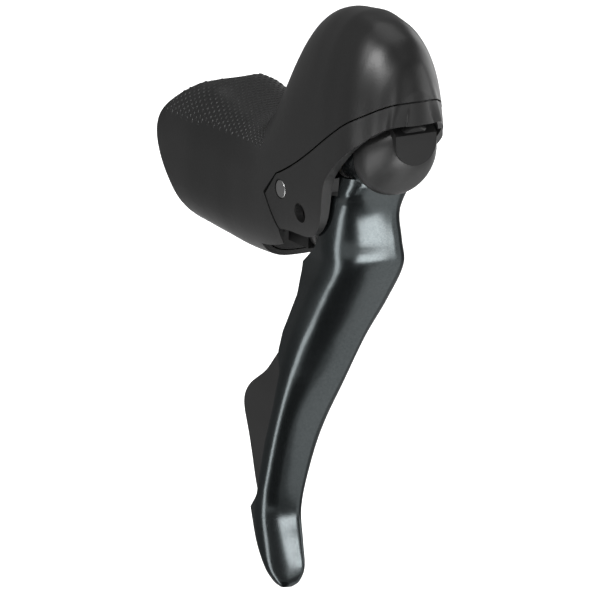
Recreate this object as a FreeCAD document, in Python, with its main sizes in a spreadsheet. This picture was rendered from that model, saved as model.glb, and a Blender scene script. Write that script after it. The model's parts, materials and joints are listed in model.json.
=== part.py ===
import FreeCAD, Part
import math
import os

import Sketcher
from FreeCAD import Placement, Rotation, Vector

# Road brake and shift lever for a drop handlebar, right hand, hydraulic.
# Frame: X forward, Y to the rider's left, Z up. The origin is the centre of the bar clamp,
# whose axis is Z. The outboard side, with the blade's flare, is the -Y side.

SIZES = (
    ("bar_radius", 12.0, "handlebar at the clamp"),
    ("band_width", 12.0, "clamp band along the bar"),
    ("band_thick", 1.2, "clamp band strip"),
    ("band_reach", 21.0, "front of the band's loop"),
    ("bolt_radius", 2.5, "clamp bolt shank"),
    ("bolt_head_radius", 4.2, "clamp bolt head"),
    ("bolt_head_x", 44.0, "seat of the clamp bolt head"),
    ("hood_wall", 1.5, "rubber of the hood"),
    ("fit_gap", 0.2, "along the seam of hood and bracket"),
    ("skin_gap", 0.4, "between the hood and the core of the bracket"),
    ("grip_half_width", 18.5, "hood at the bar"),
    ("grip_top", 24.0, "hood crest at the bar"),
    ("grip_bottom", -19.5, "hood underside"),
    ("knob_half_width", 17.2, "knob across, half"),
    ("knob_half_length", 29.6, "knob along X, half"),
    ("knob_x", 90.2, "middle of the knob"),
    ("knob_top", 61.4, "top of the knob"),
    ("plate_gap", 13.6, "inner face of a side plate from the middle"),
    ("room_gap", 0.8, "round the moving unit inside the bracket"),
    ("tower_wall", 2.0, "bracket round the cylinder sleeve"),
    ("pivot_x", 67.0, "brake pivot"),
    ("pivot_z", 4.0, "brake pivot"),
    ("pin_radius", 2.95, "brake pivot pin"),
    ("run_fit", 0.04, "running fit, radial"),
    ("bush_wall", 1.25, "plain bushes"),
    ("eye_radius", 6.5, "pivot eye of the carrier"),
    ("shaft_z", 21.6, "shift axis above the clamp centre"),
    ("shaft_radius", 3.5, "main shaft"),
    ("flange_x", 82.5, "rear of the carrier flange"),
    ("paddle_eye_x", 88.0, "rear of the paddle eye"),
    ("knuckle_x", 93.0, "rear of the blade knuckle"),
    ("cover_x", 103.0, "rim of the unit cover"),
    ("cover_front", 117.0, "front facet of the unit cover"),
    ("flange_radius", 10.5, "flange of the carrier"),
    ("side_gap", 0.4, "between pieces along the shaft"),
    ("facet_half_width", 6.8, "flat front of the unit cover, half"),
    ("knuckle_radius", 13.0, "blade knuckle"),
    ("blade_wall", 2.2, "brake blade sheet"),
    ("tooth_tip", 7.0, "ratchet over the teeth"),
    ("tooth_depth", 1.0, "ratchet teeth"),
    ("pawl_pin_ring", 8.8, "pawl pins from the shift axis"),
    ("works_radius", 10.6, "bore of the unit cover round the pawls"),
    ("barrel_radius", 5.4, "barrel of the cable drum"),
    ("pawl_pin_radius", 0.9, "pawl pins"),
    ("cylinder_radius", 7.0, "master cylinder sleeve"),
    ("bore_radius", 4.75, "master cylinder bore"),
    ("cylinder_start", 14.0, "open end of the sleeve along the stroke line"),
    ("cylinder_length", 32.0, "master cylinder sleeve"),
    ("rod_x", 57.0, "push rod contact"),
    ("rod_z", 9.5, "push rod contact"),
    ("stroke_slope", 60.0, "stroke line above the horizontal, degrees"),
    ("hole_radius", 2.95, "access hole in the outboard plate"),
    ("hole_x", 77.5, "access hole"),
    ("hole_z", -1.0, "access hole"),
    ("lock_radius", 1.2, "lock screw of the pivot pin"),
    ("lock_y", 15.3, "lock screw, in the inboard plate"),
    ("lid_x", 83.4, "rear of the reservoir lid"),
    ("lid_length", 18.6, "reservoir lid"),
    ("lid_half_width", 7.8, "reservoir lid"),
    ("lid_thick", 1.8, "reservoir lid"),
    ("lid_z", 52.5, "seat of the reservoir lid"),
    ("lid_screw_radius", 1.0, "lid screws"),
    ("bleed_x", 108.5, "bleed screw"),
    ("bleed_z", 47.5, "seat of the bleed screw"),
    ("bleed_radius", 1.6, "bleed screw shank"),
    ("bleed_head_radius", 2.8, "bleed screw head"),
    ("hose_port_radius", 4.0, "hose port"),
    ("casing_stop_radius", 2.6, "stop for the shift casing"),
    ("port_x", 17.0, "mouth of the ports"),
    ("port_y", 7.5, "ports from the middle"),
    ("port_z", 14.5, "ports above the clamp centre"),
)

doc = FreeCAD.newDocument("BrakeShiftLever")
sheet = doc.addObject("Spreadsheet::Sheet", "Sizes")
for row, (alias, number, meaning) in enumerate(SIZES, 1):
    sheet.set(f"A{row}", meaning)
    sheet.set(f"B{row}", str(number))
    sheet.setAlias(f"B{row}", alias)
doc.recompute()

FAR = 200.0
# Lesser sizes, in mm and degrees
ROOM_REAR, BELL_X, NOSE_X = 51.6, 97.0, 111.0
LID_SCREW_DEPTH, LID_SCREW_HEAD, LID_SCREW_HEAD_LONG = 5.0, 1.5, 1.1
BLEED_DEPTH, BLEED_HEAD_LONG, BLEED_SOCKET = 6.0, 2.5, 1.2
PORT_DEPTH, PORT_MOUTH = 12.0, 11.0
EYE_OUTBOARD, EYE_INBOARD, BUSH_FLANGE, BUSH_LONG = 12.4, 6.4, 0.6, 6.0
CYLINDER_END, PISTON_LONG, SEAL_LONG, SEAL_PLACES = 2.0, 15.0, 1.8, (1.6, 11.2)
CLIP_DEPTH, CLIP_THICK, CLIP_TALL = 0.6, 0.8, 1.7
ROD_CLEAR, ROD_RADIUS, ROD_PASSAGE = 0.35, 1.8, 3.2
HORN_RADIUS, HORN_HALF, WEB_HALF = 3.0, 4.0, 6.4
REACH_Y, REACH_Z, REACH_RADIUS, REACH_HEAD, REACH_LONG, REACH_HALF = -8.0, -10.0, 1.5, 2.6, 11.5, 3.4
SHAFT_HEAD, SHAFT_HEAD_LONG, SHAFT_END = 4.6, 2.0, 8.6
INDEX_X, INDEX_THICK = 2.9, 1.0
HOLD_ANGLE, DRIVE_ANGLE = 265.0, 95.0
PAWL_SWEEP, PAWL_X, PAWL_THICK, PAWL_HUB = 32.0, 0.75, 1.7, 1.5
TEETH, TOOTH_LONG, DRUM_LONG, CABLE_HOLE, CABLE_ANGLE = 20, 2.0, 6.3, 0.8, 40.0
SPRING_POCKET, PADDLE_POCKET, PIN_SUNK = 5.4, 3.6, 4.0
SHOULDER_DROP = 1.5
PADDLE_WALL = 2.4


class Dim:
    """A length that keeps the sheet formula it came from."""

    def __init__(self, number, formula):
        self.number = number
        self.formula = formula

    def _with(self, sign, other):
        other = as_dim(other)
        number = {"+": self.number + other.number, "-": self.number - other.number,
                  "*": self.number * other.number}[sign]
        return Dim(number, f"({self.formula} {sign} {other.formula})")

    def __add__(self, other):
        return self._with("+", other)

    def __sub__(self, other):
        return self._with("-", other)

    def __mul__(self, other):
        return self._with("*", other)

    def __neg__(self):
        return Dim(-self.number, f"(0 - {self.formula})")


def as_dim(thing):
    return thing if isinstance(thing, Dim) else Dim(float(thing), repr(float(thing)))


def d(alias):
    return Dim(float(sheet.get(alias)), f"Sizes.{alias}")


def n(alias):
    return float(sheet.get(alias))


# Helpers for pieces that are turned or cut from plate


def pin_point(sketch, index, kind, dim):
    """Ties one coordinate of a corner of the outline to its size."""
    axis = -2 if kind == "DistanceX" else -1
    if abs(dim.number) < 1e-9:
        sketch.addConstraint(Sketcher.Constraint("PointOnObject", index, 1, axis))
        return
    if dim.number > 0:
        place = sketch.addConstraint(Sketcher.Constraint(kind, -1, 1, index, 1, dim.number))
        sketch.setExpression(f"Constraints[{place}]", dim.formula)
    else:
        place = sketch.addConstraint(Sketcher.Constraint(kind, index, 1, -1, 1, -dim.number))
        sketch.setExpression(f"Constraints[{place}]", (-dim).formula)


def outline(body, role, corners):
    plane = next(item for item in body.Origin.OriginFeatures if item.Role == role)
    sketch = body.newObject("Sketcher::SketchObject", "Outline")
    sketch.AttachmentSupport = (plane, [""])
    sketch.MapMode = "FlatFace"
    corners = [(as_dim(x), as_dim(y)) for x, y in corners]
    points = [Vector(x.number, y.number, 0) for x, y in corners]
    for index, point in enumerate(points):
        sketch.addGeometry(Part.LineSegment(point, points[(index + 1) % len(points)]), False)
    for index, (x, y) in enumerate(corners):
        sketch.addConstraint(Sketcher.Constraint("Coincident", index, 2, (index + 1) % len(points), 1))
        pin_point(sketch, index, "DistanceX", x)
        pin_point(sketch, index, "DistanceY", y)
    return sketch


def set_place(thing, base, direction):
    base = [as_dim(value) for value in base]
    turn = Rotation(Vector(0, 0, 1), Vector(*direction))
    thing.Placement = Placement(Vector(*[value.number for value in base]), turn)
    for name, value in zip("xyz", base):
        thing.setExpression(f"Placement.Base.{name}", value.formula)


def turned(label, profile, base=(0, 0, 0), direction=(1, 0, 0)):
    """A turned piece: corners (radius, height), turned about its own axis."""
    body = doc.addObject("PartDesign::Body", label)
    body.Label = label
    sketch = outline(body, "XZ_Plane", profile)
    spin = body.newObject("PartDesign::Revolution", "Turned")
    spin.Profile = sketch
    spin.ReferenceAxis = (sketch, ["V_Axis"])
    spin.Angle = 360
    set_place(body, base, direction)
    return body


def sleeve(label, inner, outer, length, base, direction=(1, 0, 0)):
    return turned(label, [(inner, 0), (outer, 0), (outer, length), (inner, length)], base, direction)


def solid_piece(label, shape):
    piece = doc.addObject("Part::Feature", label)
    piece.Label = label
    piece.Shape = shape
    return piece


# Helpers for moulded forms


def ring_wire(points):
    curve = Part.BSplineCurve()
    even = [index / len(points) for index in range(len(points) + 1)]
    curve.interpolate(Points=points, PeriodicFlag=True, Parameters=even)
    return Part.Wire(curve.toShape())


def squared(angle, power):
    """A point of the unit superellipse: power 2 is a circle, more is squarer."""
    across, up = math.cos(angle), math.sin(angle)
    reach = (abs(across) ** power + abs(up) ** power) ** (-1.0 / power)
    return across * reach, up * reach


def loft(wires, ruled=False):
    return Part.makeLoft(wires, True, ruled, False, 3)


def between(rows, place):
    """A row of values at a place, on smooth curves that never overshoot the rows given."""
    inside = range(1, len(rows) - 1)
    after = next((index for index in inside if rows[index][0] > place), len(rows) - 1)
    low, high = rows[after - 1], rows[after]
    run = high[0] - low[0]
    share = (place - low[0]) / run
    values = []
    for column in range(1, len(low)):
        slope = (high[column] - low[column]) / run
        ends = []
        for index in (after - 1, after):
            near = [(rows[k + 1][column] - rows[k][column]) / (rows[k + 1][0] - rows[k][0])
                    for k in (index - 1, index) if 0 <= k < len(rows) - 1]
            level = min(near) <= 0 <= max(near)
            ends.append(0.0 if level else 2 * near[0] * near[-1] / (near[0] + near[-1]))
        bulge = (ends[0] - slope) * (1 - share) - (ends[1] - slope) * share
        values.append(low[column] + slope * run * share + run * share * (1 - share) * bulge)
    return values


def prism_y(corners, low=-FAR, high=FAR):
    """A side profile of (x, z) corners, carried straight across from low to high in Y."""
    points = [Vector(x, low, z) for x, z in corners]
    face = Part.Face(Part.makePolygon(points + points[:1]))
    return face.extrude(Vector(0, high - low, 0))


def curved_prism_y(runs, low=-FAR, high=FAR):
    """A side profile of runs of (x, z) points: two points are a line, more are a smooth curve."""
    edges = []
    for run in runs:
        points = [Vector(x, low, z) for x, z in run]
        if len(points) == 2:
            edges.append(Part.makeLine(*points))
        else:
            curve = Part.BSplineCurve()
            curve.interpolate(points)
            edges.append(curve.toShape())
    return Part.Face(Part.Wire(edges)).extrude(Vector(0, high - low, 0))


def rod(radius, start, direction, length):
    return Part.makeCylinder(radius, length, Vector(*start), Vector(*direction))


# Outer form of hood and bracket: one loft of squared rings from the bar to the front of the knob

SEGMENTS = 20
LOW_POWER = 3.4
GRIP_RINGS = 21
NOSE_RINGS = 10
NOSE_END = math.radians(87.5)
NOSE_Z = 28.0
# Plan of the knob ahead of its middle: share of the length, share of the half width. The long even run
# is the flat facet on each side of the front.
NOSE_PLAN = ((0, 1.0), (0.25, 0.985), (0.45, 0.955), (0.6, 0.85), (0.75, 0.70), (0.86, 0.575),
             (0.93, 0.475), (0.97, 0.385), (0.99, 0.27), (1.0, 0.1))
# The knob's back is drawn in along X too, most at one place and less with the distance from it
KNOB_BACK, BACK_SPREAD, BACK_SHARE = 59.0, 8.0, 0.85


def grip_rows():
    """Rings up to the top of the knob: X, half width, crest, underside, widest level, squareness."""
    wide, crest, floor = n("grip_half_width"), n("grip_top"), n("grip_bottom")
    knob, top = n("knob_half_width"), n("knob_top")
    return ((-10, wide - 0.2, crest - 2, floor + 0.5, 2, 2.9),
            (13, wide, crest, floor, 2, 2.9),
            (27, wide - 0.8, crest - 3, floor - 1.2, 2, 2.9),
            (40, wide - 1.5, crest - 5, floor - 2.2, 2, 2.8),
            (49, knob - 0.2, crest - 2.5, floor - 2.0, 3, 2.6),
            (55, knob - 0.1, top - 32.9, floor - 1.5, 5, 2.3),
            (60, knob, top - 23.9, floor - 0.8, 8, 2.1),
            (65, knob, top - 13.9, floor + 0.2, 12, 2.0),
            (71, knob, top - 6.1, floor + 1.3, 16, 2.05),
            (80, knob, top - 1.4, floor + 2.7, 19, 2.2),
            (n("knob_x"), knob, top, floor + 3.3, 20, 2.35))


def ring_at(x, half, low, crest, floor, widest, power):
    points = []
    for step in range(SEGMENTS):
        angle = 2 * math.pi * step / SEGMENTS
        upper = math.sin(angle) >= 0
        across, height = squared(angle, power if upper else low)
        rise = crest - widest if upper else widest - floor
        points.append(Vector(x, half * across, widest + rise * height))
    return ring_wire(points)


def outer_form(inset):
    """The form, drawn in by an inset; the steep back of the knob is also drawn in along X."""
    rows = grip_rows()
    first, middle = rows[0][0], n("knob_x")
    wires = []
    for ring in range(GRIP_RINGS + 1):
        x = first + (middle - first) * ring / GRIP_RINGS
        half, crest, floor, widest, power = between(rows, x)
        forward = BACK_SHARE * inset * math.exp(-((x - KNOB_BACK) / BACK_SPREAD) ** 2)
        wires.append(ring_at(x + forward, half - inset, LOW_POWER, crest - inset, floor + inset, widest,
                             power))
    half, crest, floor, widest, power = rows[-1][1:]
    for ring in range(1, NOSE_RINGS + 1):
        share = math.sin(NOSE_END * ring / NOSE_RINGS)
        (shrink,) = between(NOSE_PLAN, share)
        rise = (1 - share ** 2.4) ** 0.42
        sag = math.sqrt(1 - share ** 2)
        level = NOSE_Z + (widest - NOSE_Z) * sag
        wires.append(ring_at(middle + (n("knob_half_length") - inset) * share, (half - inset) * shrink,
                             2 + (LOW_POWER - 2) * sag, NOSE_Z + 1 + (crest - inset - NOSE_Z - 1) * rise,
                             NOSE_Z - 1 + (floor + inset - NOSE_Z + 1) * sag, level, 2 + (power - 2) * sag))
    return loft(wires)


# Side profiles in X and Z: the seam between hood and bracket, the bracket's lower edges and the open rear

SEAM = ((124, 39.8), (115, 38.2), (111.5, 36.2), (104, 31.9), (91, 23.4), (65, 8.3), (58, 0.9))
SEAM_FOOT = (64.5, -9.0)
LOWER_EDGE = ((66, -8.6), (73, -8.3), (82, -7.4), (86, -4.9), (89, -0.9), (91, 6.4), (92.5, 11.5),
              (98, 17.7), (106, 24.4), (111, 28.5), (115, 31.4), (124, 32.2))
INBOARD_EDGE = ((66, -8.6), (71, -8.1), (75.5, -5.6), (78, -1), (80.5, 4.5), (85, 9.5), (91, 14),
                (98, 18.8), (106, 24.8), (111, 28.5), (115, 31.4), (124, 32.2))
REAR_EDGE = ((14, 30), (6, 20), (0, 15), (-3.4, 9), (-3, 3), (0.3, -3.2), (4.4, -8.6), (8, -13.3),
             (12, -16.5), (17, -19.2), (24, -23), (60, -34))


def below_seam(shift):
    """Everything under the seam in front of its foot; shift moves the seam up or down."""
    seam = [(x, z + shift) for x, z in SEAM]
    seam[-1] = (seam[-1][0] - 1.5 * shift, seam[-1][1])
    foot = (SEAM_FOOT[0] - shift, SEAM_FOOT[1])
    return curved_prism_y([seam[:-1], seam[-2:], (seam[-1], foot), (foot, (foot[0], -FAR)),
                           ((foot[0], -FAR), (seam[0][0], -FAR)), ((seam[0][0], -FAR), seam[0])])


def under_edge(edge, low, high, drop=0.0):
    """Everything under a lower edge, which can be dropped a little, on one side of the bracket."""
    edge = [(x, z - drop) for x, z in edge]
    first, last = edge[0], edge[-1]
    return curved_prism_y([edge, (last, (last[0], -FAR)), ((last[0], -FAR), (-FAR, -FAR)),
                           ((-FAR, -FAR), (-FAR, -FAR / 2)), ((-FAR, -FAR / 2), (SEAM_FOOT[0], -FAR / 2)),
                           ((SEAM_FOOT[0], -FAR / 2), (SEAM_FOOT[0], first[1])),
                           ((SEAM_FOOT[0], first[1]), first)], low, high)


def behind_grip():
    edge = list(REAR_EDGE)
    high, low = edge[0], edge[-1]
    return curved_prism_y([edge, (low, (low[0], -FAR)), ((low[0], -FAR), (-FAR, -FAR)),
                           ((-FAR, -FAR), (-FAR, high[1])), ((-FAR, high[1]), high)])


# Stroke line of the brake piston, in the middle plane

FORWARD = Rotation(Vector(0, 0, 1), Vector(1, 0, 0))
STROKE = Vector(math.cos(math.radians(n("stroke_slope"))), 0, math.sin(math.radians(n("stroke_slope"))))
ROD_END = Vector(n("rod_x"), 0, n("rod_z"))


def on_stroke(distance):
    return ROD_END + STROKE * distance


def bell(radius, start, end):
    """A round-topped tunnel along X about the shift axis, open downwards."""
    middle = n("shaft_z")
    barrel = rod(radius, (start, 0, middle), (1, 0, 0), end - start)
    return barrel.fuse(Part.makeBox(end - start, 2 * radius, FAR, Vector(start, -radius, middle - FAR)))


def mechanism_room():
    """The space between the side plates, and the bell that the shift unit swings down out of."""
    gap, spare = n("plate_gap"), n("room_gap")
    ceiling = n("shaft_z") + n("knuckle_radius") + 2 * spare
    wall = n("cylinder_radius") + n("tower_wall")
    tower = on_stroke(n("cylinder_start") - 1.0) + Vector(STROKE.z, 0, -STROKE.x) * wall
    tower_top = tower + STROKE * ((ceiling - tower.z) / STROKE.z)
    rear = prism_y([(ROOM_REAR, -FAR), (ROOM_REAR, 12), (60, 17.5), (tower.x, tower.z),
                    (tower_top.x, ceiling), (BELL_X, ceiling), (BELL_X, -FAR)], -gap, gap)
    wide = bell(n("knuckle_radius") + spare, BELL_X, NOSE_X)
    narrow = bell(n("knuckle_radius") - spare / 4, NOSE_X, NOSE_X + 20)
    reach = math.hypot(n("cover_front") - n("pivot_x"), NOSE_Z + 2 - n("pivot_z")) + spare
    sweep = rod(reach, (n("pivot_x"), -FAR / 2, n("pivot_z")), (0, 1, 0), FAR)
    return rear, wide.common(sweep), narrow.common(sweep)


def make_hood():
    """Rubber skin: the form less the form drawn in, cut off at the seam and open at the bar."""
    wall = n("hood_wall")
    shell = outer_form(0.0).cut(outer_form(wall))
    shell = shell.cut(below_seam(n("fit_gap") * 1.5)).cut(behind_grip())
    shell = shell.cut(rod(n("bar_radius") + n("hood_wall") + 0.3, (0, 0, -FAR), (0, 0, 1), 2 * FAR))
    gap = n("plate_gap") + 2 * n("fit_gap")
    slot = Vector(ROOM_REAR - 2 * n("fit_gap"), -gap, -FAR)
    shell = shell.cut(Part.makeBox(FAR, 2 * gap, FAR + n("pivot_z") - n("eye_radius"), slot))
    return solid_piece("hood", shell)


def make_bracket():
    """Core inside the hood, joined to the skirt that shows under the seam, then cut for all it holds."""
    inset = n("hood_wall") + n("skin_gap")
    core = outer_form(inset)
    skirt = outer_form(n("fit_gap")).common(below_seam(-n("fit_gap")))
    body = core.fuse(skirt)
    body = body.cut(under_edge(LOWER_EDGE, -FAR, 0.0)).cut(under_edge(INBOARD_EDGE, 0.0, FAR))
    body = body.cut(Part.makeBox(FAR, FAR, FAR, Vector(6 - FAR, -FAR / 2, -FAR / 2)))
    body = body.cut(behind_grip())
    body = body.cut(rod(n("bar_radius"), (0, 0, -FAR), (0, 0, 1), 2 * FAR))
    for room in mechanism_room():
        body = body.cut(room)
    slack, head = n("fit_gap"), n("bolt_head_x")
    # slot for the band, hole and counterbore for its bolt
    half, outer = n("band_width") / 2 + 0.3, n("bar_radius") + n("band_thick") + 0.3
    slot_end = n("band_reach") + 1.5
    body = body.cut(Part.makeBox(slot_end + FAR, 2 * outer, 2 * half, Vector(-FAR, -outer, -half)))
    body = body.cut(rod(n("bolt_radius") + slack / 2, (0, 0, 0), (1, 0, 0), head))
    body = body.cut(rod(n("bolt_head_radius") + 0.3, (head, 0, 0), (1, 0, 0), 2 * (ROOM_REAR - head)))
    # pivot pin, its lock screw, and the access hole on the outboard side
    body = body.cut(rod(n("pin_radius"), (n("pivot_x"), -FAR, n("pivot_z")), (0, 1, 0), 2 * FAR))
    body = body.cut(rod(n("hole_radius"), (n("hole_x"), -FAR, n("hole_z")), (0, 1, 0), FAR))
    body = body.cut(rod(n("lock_radius"), (n("pivot_x"), n("lock_y"), -FAR), (0, 0, 1), FAR + n("pivot_z")))
    # cylinder sleeve, the passage of its push rod, and the reservoir
    mouth = n("cylinder_start") - 6.0
    body = body.cut(rod(n("cylinder_radius"), tuple(on_stroke(mouth)), tuple(STROKE),
                        n("cylinder_start") + n("cylinder_length") - mouth))
    body = body.cut(rod(ROD_PASSAGE, tuple(on_stroke(0)), tuple(STROKE), n("cylinder_start")))
    lid_x, lid_long, lid_half = n("lid_x"), n("lid_length"), n("lid_half_width")
    body = body.cut(Part.makeBox(lid_long + 2 * slack, 2 * (lid_half + slack), FAR,
                                 Vector(lid_x - slack, -lid_half - slack, n("lid_z"))))
    for box in tank_boxes(0.0):
        body = body.cut(box)
    for x in lid_screw_places():
        foot = (x, 0, n("lid_z") - LID_SCREW_DEPTH)
        body = body.cut(rod(n("lid_screw_radius"), foot, (0, 0, 1), LID_SCREW_DEPTH))
    bleed = (n("bleed_x"), 0, n("bleed_z"))
    body = body.cut(rod(n("bleed_radius"), (bleed[0], 0, bleed[2] - BLEED_DEPTH), (0, 0, 1), FAR))
    body = body.cut(rod(n("bleed_head_radius") + slack, bleed, (0, 0, 1), FAR))
    # ports for the hose and the shift casing, each with a flat mouth
    for side, radius in ((-1, n("hose_port_radius")), (1, n("casing_stop_radius"))):
        y, z = side * n("port_y"), n("port_z")
        corner = Vector(n("port_x") - FAR, y - PORT_MOUTH / 2, z - PORT_MOUTH / 2)
        body = body.cut(Part.makeBox(FAR, PORT_MOUTH, PORT_MOUTH, corner))
        body = body.cut(rod(radius, (n("port_x") - 1, y, z), (1, 0, 0), PORT_DEPTH + 1))
    return solid_piece("bracket_body", max(body.Solids, key=lambda item: item.Volume))


def tank_boxes(inset):
    """Fluid tank under the lid, and the ledge round it for the flange of the diaphragm."""
    tank_x, tank_long, tank_half, depth, ledge = n("lid_x") + 4.1, 10.5, 5.0, 9.5, 0.8
    low = n("lid_z")
    tank = Part.makeBox(tank_long - 2 * inset, 2 * (tank_half - inset), depth,
                        Vector(tank_x + inset, -tank_half + inset, low - depth))
    rim = Part.makeBox(tank_long + 2, 2 * tank_half + 2, ledge,
                       Vector(tank_x - 1, -tank_half - 1, low - ledge))
    return tank, rim


def lid_screw_places():
    return n("lid_x") + 1.6, n("lid_x") + n("lid_length") - 1.7


def make_reservoir():
    tank, rim = tank_boxes(0.3)
    bag, _ = tank_boxes(1.1)
    sunk = Part.makeBox(FAR, FAR, FAR, Vector(0, -FAR / 2, n("lid_z") - 6.0))
    diaphragm = rim.fuse(tank.common(sunk)).cut(bag.common(sunk.translated(Vector(0, 0, 0.8))))
    solid_piece("reservoir_diaphragm", diaphragm)
    half, thick = n("lid_half_width"), n("lid_thick")
    lid = Part.makeBox(n("lid_length"), 2 * half, thick, Vector(n("lid_x"), -half, n("lid_z")))
    lid = lid.makeFillet(2.0, [edge for edge in lid.Edges if abs(edge.tangentAt(0).z) > 0.9])
    screws = []
    slot_wide, slot_deep = 0.5, 0.5
    top = n("lid_z") + thick
    for x in lid_screw_places():
        lid = lid.cut(rod(n("lid_screw_radius"), (x, 0, n("lid_z")), (0, 0, 1), thick))
        foot = n("lid_z") - LID_SCREW_DEPTH
        shank = rod(n("lid_screw_radius"), (x, 0, foot), (0, 0, 1), top - foot)
        head = rod(LID_SCREW_HEAD, (x, 0, top), (0, 0, 1), LID_SCREW_HEAD_LONG)
        slot = Part.makeBox(2 * LID_SCREW_HEAD, slot_wide, slot_deep,
                            Vector(x - LID_SCREW_HEAD, -slot_wide / 2, top + LID_SCREW_HEAD_LONG - slot_deep))
        screws.append(shank.fuse(head).cut(slot))
    solid_piece("reservoir_lid", lid)
    solid_piece("lid_screws", Part.makeCompound(screws))
    shank, head = d("bleed_radius"), d("bleed_head_radius")
    high, socket = BLEED_DEPTH + BLEED_HEAD_LONG, BLEED_DEPTH + 1
    turned("bleed_screw", [(0, 0), (shank, 0), (shank, BLEED_DEPTH), (head, BLEED_DEPTH), (head, high),
                           (BLEED_SOCKET, high), (BLEED_SOCKET, socket), (0, socket)],
           (d("bleed_x"), 0, d("bleed_z") - BLEED_DEPTH), (0, 0, 1))


def make_clamp():
    radius, thick, half, reach = n("bar_radius"), n("band_thick"), n("band_width") / 2, n("band_reach")
    outer = radius + thick
    band = rod(outer, (0, 0, -half), (0, 0, 1), 2 * half)
    band = band.fuse(Part.makeBox(reach, 2 * outer, 2 * half, Vector(0, -outer, -half)))
    band = band.cut(rod(radius, (0, 0, -half), (0, 0, 1), 2 * half))
    band = band.cut(Part.makeBox(reach - thick, 2 * radius, 2 * half, Vector(0, -radius, -half)))
    band = band.cut(rod(n("bolt_radius") + n("fit_gap") / 2, (0, 0, 0), (1, 0, 0), 2 * reach))
    solid_piece("clamp_band", band)
    start = radius + 1.0
    wide, tall = 11.0, 2 * half - 1
    nut = Part.makeBox(reach - thick - start, wide, tall, Vector(start, -wide / 2, -tall / 2))
    nut = nut.cut(rod(n("bolt_radius"), (0, 0, 0), (1, 0, 0), 2 * reach))
    solid_piece("clamp_nut", nut)
    shank, head = d("bolt_radius"), d("bolt_head_radius")
    tip = d("bar_radius") + 1.2
    long, head_long, socket, floor = d("bolt_head_x") - tip, 5, 2, 2
    turned("clamp_bolt", [(0, 0), (shank, 0), (shank, long), (head, long), (head, long + head_long),
                          (socket, long + head_long), (socket, long + floor), (0, long + floor)], (tip, 0, 0))


def make_pivot():
    pin, half, bevel = d("pin_radius"), d("knob_half_width") - d("fit_gap") * 2, 0.4
    turned("lever_pivot_pin", [(0, 0), (pin - bevel, 0), (pin, bevel), (pin, half * 2 - bevel),
                               (pin - bevel, half * 2), (0, half * 2)],
           (d("pivot_x"), -half, d("pivot_z")), (0, 1, 0))
    lock, long, socket, deep = d("lock_radius"), 6, 0.6, 1.5
    turned("pivot_set_screw", [(0, deep), (socket, deep), (socket, 0), (lock, 0), (lock, long), (0, long)],
           (d("pivot_x"), d("lock_y"), d("pivot_z") - pin - long), (0, 0, 1))
    spring = coil(n("pin_radius") + 0.95, 0.5, 2.5, 1.7)
    spring.Placement = Placement(Vector(n("pivot_x"), EYE_INBOARD + BUSH_FLANGE + 0.9, n("pivot_z")),
                                 Rotation(Vector(0, 0, 1), Vector(0, 1, 0)))
    solid_piece("lever_return_spring", spring)


def coil(radius, wire, turns, pitch):
    """A round-wire coil along +Z."""
    helix = Part.makeHelix(pitch, pitch * turns, radius)
    ring = Part.Wire(Part.makeCircle(wire, Vector(radius, 0, 0), Vector(0, 1, 0)))
    return Part.Wire(helix).makePipeShell([ring], True, True)


def stroke_place(distance):
    place = on_stroke(distance)
    return place.x, 0, place.z


def make_cylinder():
    bore, outer, long = d("bore_radius"), d("cylinder_radius"), d("cylinder_length")
    inside = long - CYLINDER_END
    turned("master_cylinder", [(bore, 0), (outer, 0), (outer, long), (0, long), (0, inside), (bore, inside)],
           stroke_place(n("cylinder_start")), tuple(STROKE))
    sleeve("piston_circlip", bore - CLIP_TALL, bore, CLIP_THICK,
           stroke_place(n("cylinder_start") + CLIP_DEPTH), tuple(STROKE))
    start = n("cylinder_start") + CLIP_DEPTH + CLIP_THICK + 0.2
    run, groove = bore - 0.05, bore - 1.2
    low, high = SEAL_PLACES
    turned("piston", [(0, 0), (run, 0), (run, low), (groove, low), (groove, low + SEAL_LONG),
                      (run, low + SEAL_LONG), (run, 5), (groove, 6), (groove, 10), (run, high - 0.6),
                      (run, high), (groove, high), (groove, high + SEAL_LONG), (run, high + SEAL_LONG),
                      (run, PISTON_LONG), (0, PISTON_LONG)], stroke_place(start), tuple(STROKE))
    for label, height in zip(("secondary_seal", "primary_seal"), SEAL_PLACES):
        sleeve(label, groove, bore - 0.03, SEAL_LONG, stroke_place(start + height), tuple(STROKE))
    rod_long = start - ROD_CLEAR
    turned("push_rod", [(0, 0), (1.5, 0.3), (2.3, 1.4), (2.3, 2.6), (ROD_RADIUS, 3.6), (ROD_RADIUS, rod_long),
                        (0, rod_long)], stroke_place(ROD_CLEAR), tuple(STROKE))
    room = n("cylinder_start") + n("cylinder_length") - CYLINDER_END - start - PISTON_LONG
    wire, turns = 0.5, 4
    spring = coil(n("bore_radius") - wire - 0.6, wire, turns, (room - 2 * wire - 0.1) / turns)
    seat = on_stroke(start + PISTON_LONG + wire + 0.05)
    spring.Placement = Placement(seat, Rotation(Vector(0, 0, 1), STROKE))
    solid_piece("piston_spring", spring)


def ring_pocket(inner, outer, start):
    """A round groove about the shift axis, open to the front, that holds a spring."""
    place, way = (start, 0, n("shaft_z")), (1, 0, 0)
    return rod(outer, place, way, FAR).cut(rod(inner, place, way, FAR))


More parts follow.
